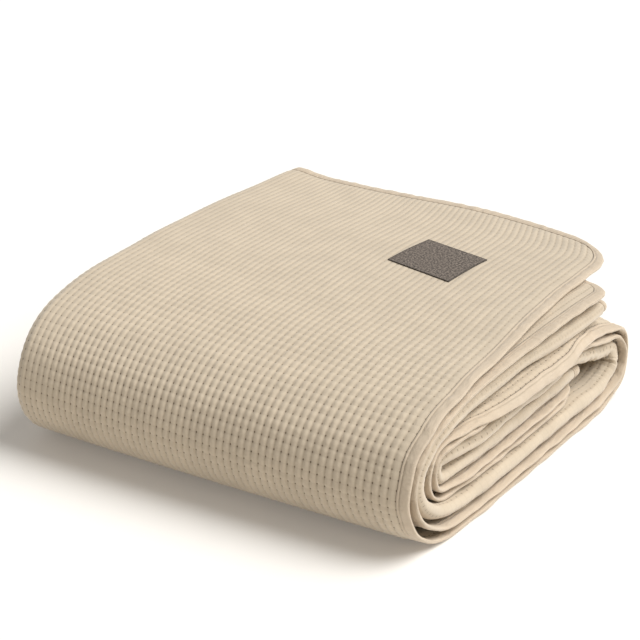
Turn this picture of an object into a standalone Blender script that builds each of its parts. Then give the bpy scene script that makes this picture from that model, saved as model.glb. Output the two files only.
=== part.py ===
# Folded quilted coverlet: one quilted panel, its binding and a sewn-on label.
#
# The cloth is folded in four across its width, which makes a long strip of
# four layers. The strip then lies in four runs, wound as a flat spiral:
# top run, front bend, bottom run, back turn, inner upper run, inner turn and
# inner lower run. +Z is up, X runs along the bends, the front bend faces -Y,
# and the side with the layers and the bound edges faces +X.
#
# Cloth coordinates: u runs across the width, from the bound edge of the outer
# layer, and s runs along the strip, from its free end on the top run.

import math
from collections import namedtuple

import bpy
import numpy as np

# Cloth, metres
SHEET = 0.0080            # thickness of the quilted cloth
SEAM_SHEET = 0.0046       # thickness where the binding grips the quilted cloth
SEAM_TAPER = 0.014        # width over which the cloth thins towards its seam
BINDING_WIDTH = 0.018
BINDING_SHEET = 0.0050
BINDING_NOSE = 0.0022     # how far the rounded outer edge of the binding reaches
CORNER_RADIUS = 0.055     # rounded cloth corners, at the outer edge of the binding
FIT_GAP = 0.0003          # clearance between pieces

# Folded strip, metres
PITCH = 0.0113            # layer spacing of the folds
RIGHT_EDGE = 0.2835       # bound edge of the outer layer, on the top run
SECOND_EDGE = 0.2855      # bound edge of the second layer
RIGHT_FOLD = 0.2815       # outside of the fold between the third and fourth layers
LEFT_FOLD = -0.3000       # outside of the left folds

# Label, metres
LABEL_SIZE = (0.1095, 0.1015)     # in cloth coordinates, as the next two
LABEL_PLACE = (0.1988, 0.2307)    # centre
LABEL_SLANT = -0.0215             # how far its two ends along u are out of line
LABEL_TURN = math.radians(2.3)
LABEL_SHEET = 0.0012
LABEL_GRID = (6, 4)       # rows and columns of points

BOTTOM_PITCH = 0.0114
BOTTOM_RUN = 1.5 * BOTTOM_PITCH + SHEET / 2     # height of the bottom run's centre line

# Places along the strip's centre line, from its free end to its inner end.
# y, z: the centre line; pitch: layer spacing; left, right: reach along X;
# skew: how far the place runs back for each metre along X; draw_in: how far
# the outer layer's bound edge is drawn in; steps: stations up to the next place.
Place = namedtuple("Place", "name y z pitch left right skew draw_in steps")
PLACES = (
    Place("free end",          0.3935, 0.1304, 0.0112, -0.310, 0.2560, 0.000, 0.066, 2),
    Place("overhang",          0.2820, 0.1448, 0.0112, -0.310, 0.2720, 0.000, 0.033, 2),
    Place("over back turn",    0.1920, 0.1553, 0.0115, -0.310, 0.2830, 0.000, 0.034, 2),
    Place("top back",          0.0940, 0.1615, 0.0124, -0.310, 0.2840, 0.000, 0.024, 2),
    Place("top middle",        0.0000, 0.1656, 0.0130, -0.310, 0.2830, 0.000, 0.011, 2),
    Place("top front",        -0.0870, 0.1656, 0.0128, -0.313, 0.2830, 0.000, 0.004, 2),
    Place("shoulder",         -0.1590, 0.1592, 0.0122, -0.315, 0.2830, 0.000, 0.000, 2),
    Place("front upper",      -0.2080, 0.1462, 0.0118, -0.311, 0.2830, 0.000, 0.000, 3),
    Place("front brow",       -0.2465, 0.1190, 0.0115, -0.302, 0.2830, 0.000, 0.000, 2),
    Place("front",            -0.2575, 0.0880, 0.0114, -0.300, 0.2840, 0.000, 0.000, 2),
    Place("front lower",      -0.2480, 0.0560, 0.0114, -0.301, 0.2860, 0.000, 0.000, 3),
    Place("front toe",        -0.2170, 0.0300, 0.0114, -0.303, 0.2890, 0.000, 0.000, 2),
    Place("bottom front",     -0.1750, BOTTOM_RUN, BOTTOM_PITCH, -0.304, 0.2910, 0.000, 0.000, 2),
    Place("bottom middle",     0.0000, BOTTOM_RUN, BOTTOM_PITCH, -0.306, 0.2940, -0.010, 0.000, 2),
    Place("bottom back",       0.2100, BOTTOM_RUN, BOTTOM_PITCH, -0.304, 0.2940, -0.040, 0.000, 3),
    Place("back turn foot",    0.2480, 0.0265, 0.0114, -0.303, 0.2910, -0.045, 0.000, 2),
    Place("back turn low",     0.2750, 0.0405, 0.0113, -0.303, 0.2920, -0.050, 0.000, 2),
    Place("back turn",         0.2840, 0.0600, 0.0112, -0.302, 0.2920, -0.050, 0.000, 2),
    Place("back turn high",    0.2765, 0.0790, 0.0112, -0.302, 0.2910, -0.045, 0.000, 2),
    Place("back turn top",     0.2560, 0.0905, 0.0112, -0.301, 0.2900, -0.040, 0.000, 2),
    Place("inner top back",    0.2250, 0.0995, 0.0112, -0.300, 0.2900, -0.030, 0.000, 2),
    Place("inner top rear",    0.1500, 0.1100, 0.0112, -0.298, 0.2910, -0.010, 0.000, 2),
    Place("inner top middle",  0.0400, 0.1150, 0.0112, -0.296, 0.2910, 0.000, 0.000, 2),
    Place("inner top front",  -0.0700, 0.1160, 0.0111, -0.296, 0.2925, 0.000, 0.000, 2),
    Place("inner brow",       -0.1320, 0.1145, 0.0106, -0.296, 0.2870, 0.000, 0.000, 2),
    Place("inner turn top",   -0.1750, 0.1126, 0.0101, -0.296, 0.2800, 0.000, 0.000, 2),
    Place("inner turn high",  -0.1914, 0.1058, 0.0101, -0.296, 0.2770, 0.000, 0.000, 2),
    Place("inner turn",       -0.1982, 0.0894, 0.0101, -0.296, 0.2770, 0.000, 0.000, 2),
    Place("inner turn low",   -0.1914, 0.0730, 0.0101, -0.296, 0.2770, 0.000, 0.000, 2),
    Place("inner turn foot",  -0.1750, 0.0662, 0.0101, -0.296, 0.2780, 0.000, 0.000, 2),
    Place("inner low front",  -0.1180, 0.0662, 0.0108, -0.296, 0.2840, 0.000, 0.000, 2),
    Place("inner low middle",  0.0000, 0.0664, 0.0112, -0.296, 0.2850, 0.000, 0.000, 2),
    Place("inner low back",    0.1000, 0.0658, 0.0110, -0.296, 0.2840, 0.000, 0.000, 2),
    Place("inner end",         0.1700, 0.0640, 0.0104, -0.294, 0.2800, 0.000, 0.000, 1),
)

# How far the free end of each layer stands back from the outer layer's end.
Stagger = namedtuple("Stagger", "name fold set_back")
STAGGER = (
    Stagger("outer layer, bound edge", 0, 0.026),
    Stagger("left outer fold", 1, 0.020),
    Stagger("right fold", 2, 0.150),
    Stagger("left inner fold", 3, 0.090),
    Stagger("second layer, bound edge", 4, 0.146),
)
STAGGER_FADE = 0.36       # distance from the free end over which the set-back dies out
BOW = 0.024               # how far the outer layer's end bows out between its edge and fold
BOW_LEAN = 0.6            # below one, the bow lies nearer the bound edge
BOW_POINT = 1.6           # above one, the bow is narrower than half a wave
CORNER_FADE = 0.08        # distance over which rows of points straighten from a round corner

# Fineness of the panel's grid of points
EDGE_SHARES = (0.0, 0.1, 0.3, 0.6, 1.0)     # columns across a rounded corner
LAYER_COLUMNS = 5         # columns across a layer, its ends included
OUTER_FOLD_COLUMNS = 7
INNER_FOLD_COLUMNS = 5
END_ROWS = (0.0, 0.006, SEAM_TAPER)         # rows at each end, from the seam inward
END_CLEAR = 0.03          # no other row lies nearer than this to the seam

# Uneven spacing of the layers near the +X side
SWAY = 0.0009             # how far each layer strays
SWAY_WAVE = 0.21          # length of the waves along the strip
SWAY_PHASE = 0.37         # turn of the wave from one layer to the next
SWAY_START = 0.06         # x where the straying begins
EASE = 0.10               # length over which a stray or a slit comes and goes
SWAY_STOP, SWAY_GO = 0.62, 1.32     # the outer layer stays even between these lengths
TUNNEL = 0.0050           # slit between the second and third layers of the inner upper run
TUNNEL_REACH = (1.42, 1.76)
CUP = 0.009               # how far the +X edges of the inner upper run dip, at its back
CUP_WIDTH = 0.034
CUP_REACH = (1.29, 1.45)

# Where the layers open up or close in near the +X side: between start and end
# each layer strays outward by the amounts given, from the inmost to the outmost.
Spread = namedtuple("Spread", "name start end strays")
SPREADS = (
    Spread("free end", 0.00, 0.30, (-0.0045, -0.0035, 0.0050, 0.0030)),
    Spread("toe", 0.72, 0.755, (-0.0080, -0.0076, -0.0044, 0.0000)),
)
LAYER_LEVELS = (-1.5, -0.5, 0.5, 1.5)       # in pitches, as the strays are listed

# The front bend reaches further forward away from the +X side
BULGE = 0.014
BULGE_COME = (0.52, 0.64)     # lengths along the strip between which it grows
BULGE_GO = (0.78, 0.94)

COLOURS = {
    "quilted_panel": (0.72, 0.61, 0.47, 1.0),
    "binding": (0.70, 0.58, 0.44, 1.0),
    "label": (0.09, 0.08, 0.07, 1.0),
}


def steady_slopes(rows, gaps):
    """Slope of each column at each row, level where the column turns back."""
    secants = np.diff(rows, axis=0) / gaps[:, None]
    before, after = secants[:-1], secants[1:]
    share = (gaps[1:] / (gaps[:-1] + gaps[1:]))[:, None]
    slopes = share * before + (1 - share) * after
    steepest = 3 * np.minimum(abs(before), abs(after))
    slopes = np.clip(slopes, -steepest, steepest)
    slopes[before * after <= 0] = 0
    return np.vstack([secants[0], slopes, secants[-1]])


def strip_curve(samples_per_place=60):
    """Dense samples of the centre line and of the other columns, by length."""
    rows = np.array([place[1:8] for place in PLACES])
    gaps = np.hypot(*np.diff(rows[:, :2], axis=0).T)
    slopes = steady_slopes(rows, gaps)
    shares = np.linspace(0, 1, samples_per_place, endpoint=False)[:, None]
    rise = 3 * shares**2 - 2 * shares**3
    leave = shares**3 - 2 * shares**2 + shares
    arrive = shares**3 - shares**2
    spans = []
    for k, gap in enumerate(gaps):
        span = rows[k] + rise * (rows[k + 1] - rows[k])
        spans.append(span + gap * (leave * slopes[k] + arrive * slopes[k + 1]))
    samples = np.vstack(spans + [rows[-1:]])
    steps = np.hypot(*np.diff(samples[:, :2], axis=0).T)
    length = np.concatenate([[0], np.cumsum(steps)])
    return length, samples


CURVE_LENGTH, CURVE = strip_curve()
STRIP_LENGTH = CURVE_LENGTH[-1]
CURVE_HEADING = np.unwrap(np.arctan2(
    np.gradient(CURVE[:, 1], CURVE_LENGTH), np.gradient(CURVE[:, 0], CURVE_LENGTH)))


def place_lengths():
    """Distance along the strip of each row of PLACES."""
    samples_per_place = (len(CURVE) - 1) // (len(PLACES) - 1)
    return CURVE_LENGTH[::samples_per_place]


# Cross-section of the folded strip: straight layers joined by half circles.
FOLD_CENTRE = LEFT_FOLD + 1.5 * PITCH + SHEET / 2
RIGHT_CENTRE = RIGHT_FOLD - 0.5 * PITCH - SHEET / 2
# start and end are x, or the centre's x for a fold; level and radius are in pitches.
Leg = namedtuple("Leg", "kind start end level radius")
LEGS = (
    Leg("layer", RIGHT_EDGE, FOLD_CENTRE, 1.5, 0),
    Leg("left fold", FOLD_CENTRE, FOLD_CENTRE, 0.0, 1.5),
    Leg("layer", FOLD_CENTRE, RIGHT_CENTRE, -1.5, 0),
    Leg("right fold", RIGHT_CENTRE, RIGHT_CENTRE, -1.0, 0.5),
    Leg("layer", RIGHT_CENTRE, FOLD_CENTRE, -0.5, 0),
    Leg("left fold", FOLD_CENTRE, FOLD_CENTRE, 0.0, 0.5),
    Leg("layer", FOLD_CENTRE, SECOND_EDGE, 0.5, 0),
)


def leg_length(leg):
    if leg.kind == "layer":
        return abs(leg.end - leg.start)
    return math.pi * leg.radius * PITCH


LEG_ENDS = np.cumsum([leg_length(leg) for leg in LEGS])
CLOTH_WIDTH = LEG_ENDS[-1]


def section(u):
    """x, level in pitches, and the face's normal, at u across the cloth."""
    u = min(max(u, 0.0), CLOTH_WIDTH)
    number = int(min(np.searchsorted(LEG_ENDS, u, side="left"), len(LEGS) - 1))
    leg = LEGS[number]
    share = 1 - (LEG_ENDS[number] - u) / leg_length(leg)
    if leg.kind == "layer":
        x = leg.start + (leg.end - leg.start) * share
        facing = 1 if leg.end < leg.start else -1
        return x, leg.level, 0.0, facing
    if leg.kind == "right fold":
        angle = math.radians(-90 + 180 * share)
        x = leg.start + leg.radius * PITCH * math.cos(angle)
        return x, leg.level + leg.radius * math.sin(angle), math.cos(angle), math.sin(angle)
    outer = leg.radius > 1
    angle = math.radians(90 + 180 * share if outer else 270 - 180 * share)
    x = leg.start + leg.radius * PITCH * math.cos(angle)
    facing = 1 if outer else -1
    return (x, leg.level + leg.radius * math.sin(angle),
            facing * math.cos(angle), facing * math.sin(angle))


def set_back(u):
    """How far the free end stands back at u."""
    fold_middles = [0.0, LEG_ENDS[1], LEG_ENDS[3], LEG_ENDS[5], CLOTH_WIDTH]
    back = np.interp(u, fold_middles, [row.set_back for row in STAGGER])
    across = min(max(u / LEG_ENDS[0], 0.0), 1.0)
    bow = max(math.sin(math.pi * across**BOW_LEAN), 0.0)
    return back - BOW * bow**BOW_POINT


def ramp(value, start, end):
    """Smooth step from 0 at start to 1 at end."""
    share = min(max((value - start) / (end - start), 0.0), 1.0)
    return share * share * (3 - 2 * share)


def sway(level, x, s):
    """How far a layer strays outward from its even spacing, near the +X side."""
    at_side = ramp(x, SWAY_START, RIGHT_EDGE)
    if at_side == 0:
        return 0.0
    stray = SWAY * math.sin(2 * math.pi * (s / SWAY_WAVE + SWAY_PHASE * level))
    if level > 1:
        even = ramp(s, SWAY_STOP, SWAY_STOP + EASE) * (1 - ramp(s, SWAY_GO, SWAY_GO + EASE))
        stray *= 1 - even
    if level < 0:
        start, end = TUNNEL_REACH
        stray -= TUNNEL * ramp(s, start, start + EASE) * (1 - ramp(s, end - EASE, end))
    for spread in SPREADS:
        come = ramp(s, spread.start - EASE, spread.start)
        come *= 1 - ramp(s, spread.end, spread.end + EASE)
        stray += come * np.interp(level, LAYER_LEVELS, spread.strays)
    start, end = CUP_REACH
    cup = ramp(x, RIGHT_EDGE - CUP_WIDTH, RIGHT_EDGE)
    cup *= ramp(s, start, start + EASE / 2) * (1 - ramp(s, end - EASE, end))
    return stray * at_side - CUP * cup


def front_bulge(x, s):
    """How far a point of the front bend lies forward of the +X side."""
    share = ramp(s, *BULGE_COME) * (1 - ramp(s, *BULGE_GO))
    span = min(max((x - LEFT_FOLD) / (RIGHT_EDGE - LEFT_FOLD), 0.0), 1.0)
    return BULGE * share * (1 - span**2)


def cloth_point(u, s, rise):
    """Place of a point that lies rise above the cloth's middle surface."""
    s = s + set_back(u) * max(0.0, 1 - s / STAGGER_FADE)
    y, z, pitch, left, right, skew, draw_in = (
        np.interp(s, CURVE_LENGTH, CURVE[:, k]) for k in range(7))
    heading = np.interp(s, CURVE_LENGTH, CURVE_HEADING)
    x, level, across, facing = section(u)
    out = level * pitch + rise * facing + sway(level, x, s)
    x += rise * across
    span = (x - LEFT_FOLD) / (RIGHT_EDGE - LEFT_FOLD)
    x = left + (right - left) * span
    x -= draw_in * min(max(1 - u / LEG_ENDS[0], 0.0), 1.0)
    # The outer side lies to the right of the strip's heading.
    y += out * math.sin(heading) + skew * x - front_bulge(x, s)
    z -= out * math.cos(heading)
    return (x, y, z)


def panel_columns():
    """u of the panel's columns: close together at the bound edges and the folds."""
    seam = BINDING_WIDTH
    reach = CORNER_RADIUS - BINDING_WIDTH
    edge = [seam + reach * share for share in EDGE_SHARES]
    columns = list(edge)
    starts = np.concatenate([[0], LEG_ENDS[:-1]])
    for leg, start, end in zip(LEGS, starts, LEG_ENDS):
        if leg.kind == "layer":
            low = max(start, edge[-1])
            high = min(end, CLOTH_WIDTH - edge[-1])
            columns += list(np.linspace(low, high, LAYER_COLUMNS))
        else:
            count = OUTER_FOLD_COLUMNS if leg.radius > 1 else INNER_FOLD_COLUMNS
            columns += list(np.linspace(start, end, count))
    columns += [CLOTH_WIDTH - value for value in edge]
    return np.unique(np.round(columns, 6))


def stations():
    """Nominal s of the panel's rows of points, from seam to seam."""
    lengths = place_lengths()
    values = []
    for k, place in enumerate(PLACES[:-1]):
        values += list(np.linspace(lengths[k], lengths[k + 1], place.steps, endpoint=False))
    first, last = BINDING_WIDTH, STRIP_LENGTH - BINDING_WIDTH
    inner = [value for value in values if first + END_CLEAR < value < last - END_CLEAR]
    return [first + value for value in END_ROWS] + inner + [last - value for value in reversed(END_ROWS)]


def corner_cut(distance, radius):
    """How far a rounded corner cuts back the end, at a distance from the edge."""
    inward = min(max(radius - distance, 0.0), radius)
    return radius - math.sqrt(radius**2 - inward**2)


def mesh_object(name, points, faces):
    mesh = bpy.data.meshes.new(name)
    mesh.from_pydata(points, [], faces)
    mesh.update()
    body = bpy.data.objects.new(name, mesh)
    bpy.context.scene.collection.objects.link(body)
    mesh.shade_smooth()
    mesh.set_sharp_from_angle(angle=math.radians(40))
    paint = bpy.data.materials.new(name)
    paint.use_nodes = True
    shader = paint.node_tree.nodes["Principled BSDF"]
    shader.inputs["Base Color"].default_value = COLOURS[name]
    shader.inputs["Roughness"].default_value = 0.9
    shader.inputs["Metallic"].default_value = 0.0
    mesh.materials.append(paint)
    return body


def grid_solid(name, face, back):
    """Closed solid between two grids of points, face up and back down."""
    rows, columns = len(face), len(face[0])
    points = [p for row in face for p in row] + [p for row in back for p in row]
    offset = rows * columns

    def at(i, j, side):
        return i * columns + j + side * offset

    faces = []
    for i in range(rows - 1):
        for j in range(columns - 1):
            faces.append((at(i, j, 0), at(i, j + 1, 0), at(i + 1, j + 1, 0), at(i + 1, j, 0)))
            faces.append((at(i, j, 1), at(i + 1, j, 1), at(i + 1, j + 1, 1), at(i, j + 1, 1)))
    for j in range(columns - 1):
        faces.append((at(0, j, 0), at(0, j, 1), at(0, j + 1, 1), at(0, j + 1, 0)))
        last = rows - 1
        faces.append((at(last, j, 0), at(last, j + 1, 0), at(last, j + 1, 1), at(last, j, 1)))
    for i in range(rows - 1):
        faces.append((at(i, 0, 0), at(i + 1, 0, 0), at(i + 1, 0, 1), at(i, 0, 1)))
        end = columns - 1
        faces.append((at(i, end, 0), at(i, end, 1), at(i + 1, end, 1), at(i + 1, end, 0)))
    return mesh_object(name, points, faces)


def panel_grid():
    """Rows of (u, s) that cover the panel, with its corners rounded."""
    inner_radius = CORNER_RADIUS - BINDING_WIDTH
    grid = []
    for s in stations():
        from_start = s - BINDING_WIDTH
        from_end = STRIP_LENGTH - BINDING_WIDTH - s
        row = []
        for u in panel_columns():
            cut = corner_cut(min(u, CLOTH_WIDTH - u) - BINDING_WIDTH, inner_radius)
            start_cut = cut * max(0.0, 1 - from_start / CORNER_FADE)
            end_cut = cut * max(0.0, 1 - from_end / CORNER_FADE)
            row.append((u, s + start_cut - end_cut))
        grid.append(row)
    return grid


def half_sheet(u, s):
    """Half of the panel's thickness, which drops towards the seam."""
    to_edge = min(u, CLOTH_WIDTH - u, s, STRIP_LENGTH - s) - BINDING_WIDTH
    share = min(max(to_edge / SEAM_TAPER, 0.0), 1.0)
    return (SEAM_SHEET + (SHEET - SEAM_SHEET) * share) / 2


def quilted_panel():
    grid = panel_grid()
    face = [[cloth_point(u, s, half_sheet(u, s)) for u, s in row] for row in grid]
    back = [[cloth_point(u, s, -half_sheet(u, s)) for u, s in row] for row in grid]
    return grid_solid("quilted_panel", face, back)


def rim(outward):
    """Closed line round the cloth, outward from the panel's edge, as (u, s)."""
    grid = panel_grid()
    edge = list(grid[0])
    edge += [row[-1] for row in grid[1:]]
    edge += reversed(grid[-1][:-1])
    edge += [row[0] for row in reversed(grid[1:-1])]
    inner_radius = CORNER_RADIUS - BINDING_WIDTH
    points = []
    for u, s in edge:
        across = u - min(max(u, CORNER_RADIUS), CLOTH_WIDTH - CORNER_RADIUS)
        along = s - min(max(s, CORNER_RADIUS), STRIP_LENGTH - CORNER_RADIUS)
        points.append((u + outward * across / inner_radius, s + outward * along / inner_radius))
    return points


def rim_half_sheet():
    """Half thickness of the panel's edge at each point of its rim."""
    return [half_sheet(u, s) for u, s in rim(0.0)]


def binding():
    """One band sewn round all four edges, with a rounded outer edge."""
    nose = BINDING_WIDTH - BINDING_NOSE
    half = BINDING_SHEET / 2
    seam = np.array(rim_half_sheet())
    ones = np.ones(len(seam))
    lines = (
        (FIT_GAP, seam),
        (nose, half * ones),
        (BINDING_WIDTH, 0.0 * ones),
        (nose, -half * ones),
        (FIT_GAP, -seam),
    )
    loops = []
    for outward, rises in lines:
        loops.append([cloth_point(u, s, rise) for (u, s), rise in zip(rim(outward), rises)])
    count = len(loops[0])
    points = [p for loop in loops for p in loop]
    faces = []
    for k in range(len(loops)):
        this, other = k * count, (k + 1) % len(loops) * count
        for i in range(count):
            j = (i + 1) % count
            faces.append((this + i, other + i, other + j, this + j))
    return mesh_object("binding", points, faces)


def label():
    """Flat woven label on the outer layer of the top run."""
    across, along = LABEL_SIZE
    face, back = [], []
    low = SHEET / 2 + FIT_GAP
    for share_s in np.linspace(-0.5, 0.5, LABEL_GRID[0]):
        face_row, back_row = [], []
        for share_u in np.linspace(-0.5, 0.5, LABEL_GRID[1]):
            du, ds = across * share_u, along * share_s + LABEL_SLANT * share_u
            u = LABEL_PLACE[0] + du * math.cos(LABEL_TURN) + ds * math.sin(LABEL_TURN)
            s = LABEL_PLACE[1] - du * math.sin(LABEL_TURN) + ds * math.cos(LABEL_TURN)
            face_row.append(cloth_point(u, s, low + LABEL_SHEET))
            back_row.append(cloth_point(u, s, low))
        face.append(face_row)
        back.append(back_row)
    return grid_solid("label", face, back)


def centre_on_floor(bodies):
    """Puts the origin at the middle of the box's lowest face."""
    points = np.array([v.co for body in bodies for v in body.data.vertices])
    low, high = points.min(axis=0), points.max(axis=0)
    move = np.array([(low[0] + high[0]) / 2, (low[1] + high[1]) / 2, 0.0])
    for body in bodies:
        for vertex in body.data.vertices:
            vertex.co = np.array(vertex.co) - move


def main():
    for old in list(bpy.data.objects):
        bpy.data.objects.remove(old, do_unlink=True)
    bodies = [quilted_panel(), binding(), label()]
    centre_on_floor(bodies)


main()
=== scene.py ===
# Folded quilted coverlet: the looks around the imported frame. Lengths are metres.
import math

import bpy
import numpy as np
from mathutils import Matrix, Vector


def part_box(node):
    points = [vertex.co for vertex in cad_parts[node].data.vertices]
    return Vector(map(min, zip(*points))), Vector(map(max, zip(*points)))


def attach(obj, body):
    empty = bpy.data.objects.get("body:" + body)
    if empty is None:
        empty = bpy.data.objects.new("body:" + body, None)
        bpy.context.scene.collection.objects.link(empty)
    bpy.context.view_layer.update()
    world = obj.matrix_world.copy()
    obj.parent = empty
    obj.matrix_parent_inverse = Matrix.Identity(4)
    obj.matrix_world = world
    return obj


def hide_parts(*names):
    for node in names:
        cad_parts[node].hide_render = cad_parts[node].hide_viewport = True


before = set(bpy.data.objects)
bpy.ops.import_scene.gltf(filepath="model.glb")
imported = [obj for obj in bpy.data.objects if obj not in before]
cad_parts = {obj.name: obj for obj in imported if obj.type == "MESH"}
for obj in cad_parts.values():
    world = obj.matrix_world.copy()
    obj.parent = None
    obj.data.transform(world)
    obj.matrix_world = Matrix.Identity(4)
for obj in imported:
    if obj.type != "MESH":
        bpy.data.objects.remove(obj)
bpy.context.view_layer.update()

print("stage: frame loaded")

# The folded strip, as the solids have it. u runs across the cloth from the outer
# layer's bound edge, s runs along the strip from its free end.
strip = {
    "sheet": 0.0080,            # thickness of the quilted cloth
    "seamSheet": 0.0046,        # thickness where the binding grips it
    "seamTaper": 0.014,
    "seam": 0.018,              # width of the binding
    "corner": 0.055,            # radius of the cloth's corners
    "cornerFade": 0.08,         # length over which rows straighten from a round corner
    "pitch": 0.0113,            # layer spacing of the folds
    "rightEdge": 0.2835,        # x of the outer layer's bound edge
    "secondEdge": 0.2855,       # x of the second bound edge
    "rightFold": 0.2815,
    "leftFold": -0.3000,
    "bottomPitch": 0.0114,
    "staggerFade": 0.36,        # length over which the set-backs die out
    "setBacks": (0.026, 0.020, 0.150, 0.090, 0.146),   # at the edges and the three folds
    "bow": 0.024,               # how far the outer layer's end bows out
    "bowLean": 0.6,
    "bowPoint": 1.6,
    "sway": 0.0009,             # how far the layers stray from even spacing
    "swayWave": 0.21,
    "swayPhase": 0.37,
    "swayStart": 0.06,          # x where the straying begins
    "swayStop": (0.62, 0.72),   # the outer layer stays even from here
    "swayGo": (1.32, 1.42),     # to here
    "spreadEase": 0.10,
    "slit": 0.0050,             # gap under the second layer of the inner upper run
    "slitFrom": (1.42, 1.52),
    "slitTo": (1.66, 1.76),
    "cup": 0.009,               # dip of the inner upper run's edges, at its back
    "cupWidth": 0.034,
    "cupFrom": (1.29, 1.34),
    "cupTo": (1.35, 1.45),
    "bulge": 0.014,             # the front bend reaches further forward at the left
    "bulgeCome": (0.52, 0.64),
    "bulgeGo": (0.78, 0.94),
}
bottomRun = 1.5 * strip["bottomPitch"] + strip["sheet"] / 2

# name, y, z, layer spacing, left reach, right reach, skew, how far the outer edge is drawn in
placeRows = (
    ("free end",         0.3935, 0.1304, 0.0112, -0.310, 0.2560, 0.000, 0.066),
    ("overhang",         0.2820, 0.1448, 0.0112, -0.310, 0.2720, 0.000, 0.033),
    ("over back turn",   0.1920, 0.1553, 0.0115, -0.310, 0.2830, 0.000, 0.034),
    ("top back",         0.0940, 0.1615, 0.0124, -0.310, 0.2840, 0.000, 0.024),
    ("top middle",       0.0000, 0.1656, 0.0130, -0.310, 0.2830, 0.000, 0.011),
    ("top front",       -0.0870, 0.1656, 0.0128, -0.313, 0.2830, 0.000, 0.004),
    ("shoulder",        -0.1590, 0.1592, 0.0122, -0.315, 0.2830, 0.000, 0.000),
    ("front upper",     -0.2080, 0.1462, 0.0118, -0.311, 0.2830, 0.000, 0.000),
    ("front brow",      -0.2465, 0.1190, 0.0115, -0.302, 0.2830, 0.000, 0.000),
    ("front",           -0.2575, 0.0880, 0.0114, -0.300, 0.2840, 0.000, 0.000),
    ("front lower",     -0.2480, 0.0560, 0.0114, -0.301, 0.2860, 0.000, 0.000),
    ("front toe",       -0.2170, 0.0300, 0.0114, -0.303, 0.2890, 0.000, 0.000),
    ("bottom front",     -0.1750, bottomRun, strip["bottomPitch"], -0.304, 0.2910, 0.000, 0.000),
    ("bottom middle",    0.0000, bottomRun, strip["bottomPitch"], -0.306, 0.2940, -0.010, 0.000),
    ("bottom back",      0.2100, bottomRun, strip["bottomPitch"], -0.304, 0.2940, -0.040, 0.000),
    ("back turn foot",   0.2480, 0.0265, 0.0114, -0.303, 0.2910, -0.045, 0.000),
    ("back turn low",    0.2750, 0.0405, 0.0113, -0.303, 0.2920, -0.050, 0.000),
    ("back turn",        0.2840, 0.0600, 0.0112, -0.302, 0.2920, -0.050, 0.000),
    ("back turn high",   0.2765, 0.0790, 0.0112, -0.302, 0.2910, -0.045, 0.000),
    ("back turn top",    0.2560, 0.0905, 0.0112, -0.301, 0.2900, -0.040, 0.000),
    ("inner top back",   0.2250, 0.0995, 0.0112, -0.300, 0.2900, -0.030, 0.000),
    ("inner top rear",   0.1500, 0.1100, 0.0112, -0.298, 0.2910, -0.010, 0.000),
    ("inner top middle", 0.0400, 0.1150, 0.0112, -0.296, 0.2910, 0.000, 0.000),
    ("inner top front", -0.0700, 0.1160, 0.0111, -0.296, 0.2925, 0.000, 0.000),
    ("inner brow",      -0.1320, 0.1145, 0.0106, -0.296, 0.2870, 0.000, 0.000),
    ("inner turn top",  -0.1750, 0.1126, 0.0101, -0.296, 0.2800, 0.000, 0.000),
    ("inner turn high", -0.1914, 0.1058, 0.0101, -0.296, 0.2770, 0.000, 0.000),
    ("inner turn",      -0.1982, 0.0894, 0.0101, -0.296, 0.2770, 0.000, 0.000),
    ("inner turn low",  -0.1914, 0.0730, 0.0101, -0.296, 0.2770, 0.000, 0.000),
    ("inner turn foot", -0.1750, 0.0662, 0.0101, -0.296, 0.2780, 0.000, 0.000),
    ("inner low front", -0.1180, 0.0662, 0.0108, -0.296, 0.2840, 0.000, 0.000),
    ("inner low middle", 0.0000, 0.0664, 0.0112, -0.296, 0.2850, 0.000, 0.000),
    ("inner low back",   0.1000, 0.0658, 0.0110, -0.296, 0.2840, 0.000, 0.000),
    ("inner end",        0.1700, 0.0640, 0.0104, -0.294, 0.2800, 0.000, 0.000),
)

# Where the layers open up or close in near the layered side: start, end and how far each
# layer strays outward, from the inmost to the outmost.
layerLevels = (-1.5, -0.5, 0.5, 1.5)
spreadRows = (
    ("free end", 0.00, 0.30, (-0.0045, -0.0035, 0.0050, 0.0030)),
    ("toe", 0.72, 0.755, (-0.0080, -0.0076, -0.0044, 0.0000)),
)


def smoothStep(value, start, end):
    share = np.clip((value - start) / (end - start), 0, 1)
    return share * share * (3 - 2 * share)


def between(value, come, go):        # rises from 0 to 1 over come and falls back over go
    return smoothStep(value, *come) * (1 - smoothStep(value, *go))


def steadySlopes(rows, gaps):        # slopes that don't overshoot, level where a column turns back
    secants = np.diff(rows, axis=0) / gaps[:, None]
    before, after = secants[:-1], secants[1:]
    share = (gaps[1:] / (gaps[:-1] + gaps[1:]))[:, None]
    slopes = share * before + (1 - share) * after
    steepest = 3 * np.minimum(abs(before), abs(after))
    slopes = np.clip(slopes, -steepest, steepest)
    slopes[before * after <= 0] = 0
    return np.vstack([secants[0], slopes, secants[-1]])


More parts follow.
